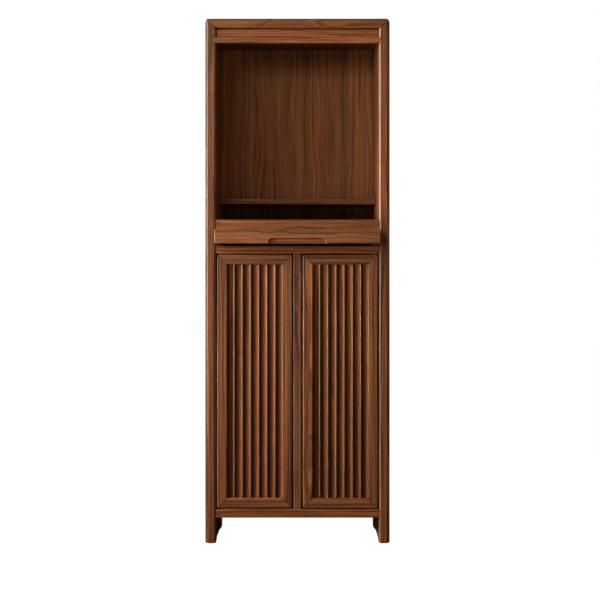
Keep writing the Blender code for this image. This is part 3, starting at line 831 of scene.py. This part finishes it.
world = bpy.data.worlds.new("studio")
bpy.context.scene.world = world
world.use_nodes = True
sky = world.node_tree.nodes["Background"]
sky.inputs["Color"].default_value = (1.0, 1.0, 1.0, 1.0)
seen = node(world.node_tree, "LightPath").outputs["Is Camera Ray"]
brightness = maths(world.node_tree, "MULTIPLY_ADD", seen, 0.99, 0.01)
world.node_tree.links.new(brightness, sky.inputs["Strength"])
bpy.context.scene.view_settings.view_transform = "Standard"

floor_mesh = bpy.data.meshes.new("studio_floor")
floor_mesh.from_pydata([(-30, -12, 0), (30, -12, 0), (30, 40, 0), (-30, 40, 0)], [], [(0, 1, 2, 3)])
floor = bpy.data.objects.new("studio_floor", floor_mesh)
bpy.context.scene.collection.objects.link(floor)
pale, pale_tree, pale_shader = shader_of("studio_floor_pale")
mottle = noise(pale_tree, node(pale_tree, "TexCoord").outputs["Object"], 2.0)[0]
mottled = blend_colour(pale_tree, mottle, (0.008, 0.008, 0.0075, 1.0), (0.012, 0.012, 0.011, 1.0))
pale_tree.links.new(mottled, pale_shader.inputs["Base Color"])
pale_shader.inputs["Roughness"].default_value = 0.9
pale_shader.inputs["Emission Color"].default_value = (1.0, 1.0, 1.0, 1.0)
shown = node(pale_tree, "LightPath").outputs["Is Camera Ray"]
pale_tree.links.new(shown, pale_shader.inputs["Emission Strength"])
floor_mesh.materials.append(pale)

carcass = walnut("walnut_carcass", (0.214, 0.0780, 0.0270), (0.068, 0.0215, 0.0062), contrast=1.25)
rails = walnut("walnut_rails", (0.240, 0.0873, 0.0282), (0.083, 0.0255, 0.0067), sweep=0.06,
               contrast=1.1, specular=0.12)
lighter = walnut("walnut_lighter", (0.272, 0.1009, 0.0329), (0.088, 0.0289, 0.0081), sweep=0.08,
                 contrast=1.05)
door_frame = walnut("walnut_door_frame", (0.270, 0.0965, 0.0315), (0.090, 0.0280, 0.0076),
                    contrast=1.15)
flutes = walnut("walnut_flutes", (0.214, 0.0735, 0.0208), (0.086, 0.0264, 0.0062), contrast=0.7,
                streaks=0.9, matt=0.1, specular=0.1)
veneer = walnut("walnut_veneer_leaves", (0.360, 0.1400, 0.0550), (0.122, 0.0403, 0.0134), bands=60.0,
                sweep=0.04, contrast=0.72, streaks=0.9, leaves=0.075, matt=0.15, specular=0.08)
hidden = walnut("walnut_inside", (0.180, 0.0654, 0.0216), (0.075, 0.0251, 0.0072), matt=0.1)
brass = brass_material()

frame_side(-1, "side_left", carcass, 1)
frame_side(1, "side_right", carcass, 2)
frame_top("top_board", lighter, 3)
level_board("fascia_board", lighter, 4, front=0.004, ease=0.004, tone=1.1, end_gap=0.0015,
            top_gap=0.003)
level_board("fascia_lip", lighter, 5, front=0.004, ease=0.004, scribe=0.007, tone=1.27)
level_board("niche_shelf", rails, 6, tone=0.78)
level_board("table_board", lighter, 7, scribe=0.0035)
level_board("upper_rail", rails, 61, scribe=0.0035)
level_board("bottom_rail", rails, 35, scribe=0.0035, tone=1.25)
level_board("cupboard_top", hidden, 10)
level_board("cupboard_bottom", hidden, 11)
upright_board("mullion", carcass, 57, tone=1.08)
shelf_low, shelf_high = box("niche_shelf")
# The niche's back panel is darkened under the shelf as painted shade
back_panel("niche_back_panel", veneer, 13, (shelf_low[2], shelf_high[2]))
back_panel("cupboard_back_panel", veneer, 14)
tray_apron(lighter, 15)
level_board("tray_board", hidden, 16, body="tray", front=0.001)
level_board("tray_batten_left", hidden, 17, body="tray", front=0.001)
level_board("tray_batten_right", hidden, 18, body="tray", front=0.001)
for hand, side, seed in ((-1, "left", 20), (1, "right", 30)):
    for step, part in enumerate(("outer_stile", "inner_stile", "bottom_rail", "top_rail")):
        door_member(hand, side, part, door_frame, seed + step, DOOR_TONES[side][step])
    fluted_panel(side, flutes, seed + 5)
    for end in ("bottom", "top"):
        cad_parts[f"door_{side}_pin_{end}"].material_slots[0].material = brass
